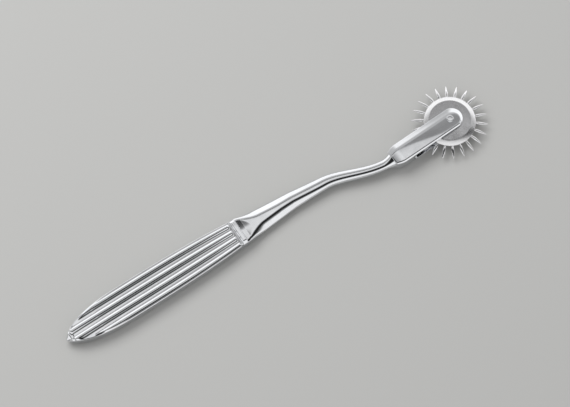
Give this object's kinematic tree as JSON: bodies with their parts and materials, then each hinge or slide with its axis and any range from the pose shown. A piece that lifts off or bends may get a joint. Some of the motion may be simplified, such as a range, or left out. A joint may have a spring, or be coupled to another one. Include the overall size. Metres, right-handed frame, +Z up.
{
  "type": "neurological pinwheel",
  "caption": "Slim polished steel hand tool: a fluted grip, a bent shank and a flat fork that carries a freely turning wheel set with radial pins.",
  "frame": {"origin": "on the resting plane, under the middle of the tool's bounding box", "axes": "+X runs along the fork from the grip towards the wheel, +Z is up and lies along the wheel's axle, +Y is to the side that the grip bends to"},
  "size_m": [0.1925, 0.0356, 0.0073],
  "materials": {
    "polished_chrome": "bright polished plating, fine hand-polish marks",
    "fork_chrome": "bright polished plating, flat faces slightly hazy",
    "screw_steel": "polished screw with a rounded end",
    "satin_disc": "satin, turned faces with bright edge bands",
    "pin_steel": "bright turned pins with sharp ends"
  },
  "bodies": {
    "holder": {"handle": "polished_chrome", "fork": "fork_chrome", "axle_screw": "screw_steel"},
    "wheel": {"wheel_disc": "satin_disc", "pin_01": "pin_steel", "pin_02": "pin_steel", "pin_03": "pin_steel", "pin_04": "pin_steel", "pin_05": "pin_steel", "pin_06": "pin_steel", "pin_07": "pin_steel", "pin_08": "pin_steel", "pin_09": "pin_steel", "pin_10": "pin_steel", "pin_11": "pin_steel", "pin_12": "pin_steel", "pin_13": "pin_steel", "pin_14": "pin_steel", "pin_15": "pin_steel", "pin_16": "pin_steel", "pin_17": "pin_steel", "pin_18": "pin_steel", "pin_19": "pin_steel", "pin_20": "pin_steel", "pin_21": "pin_steel", "pin_22": "pin_steel"}
  },
  "joints": [
    {"name": "wheel_spin", "type": "hinge", "parent": "holder", "child": "wheel", "pos_m": [0.08075, -0.00223, 0.0034], "axis": [0, 0, 1], "continuous": true}
  ]
}
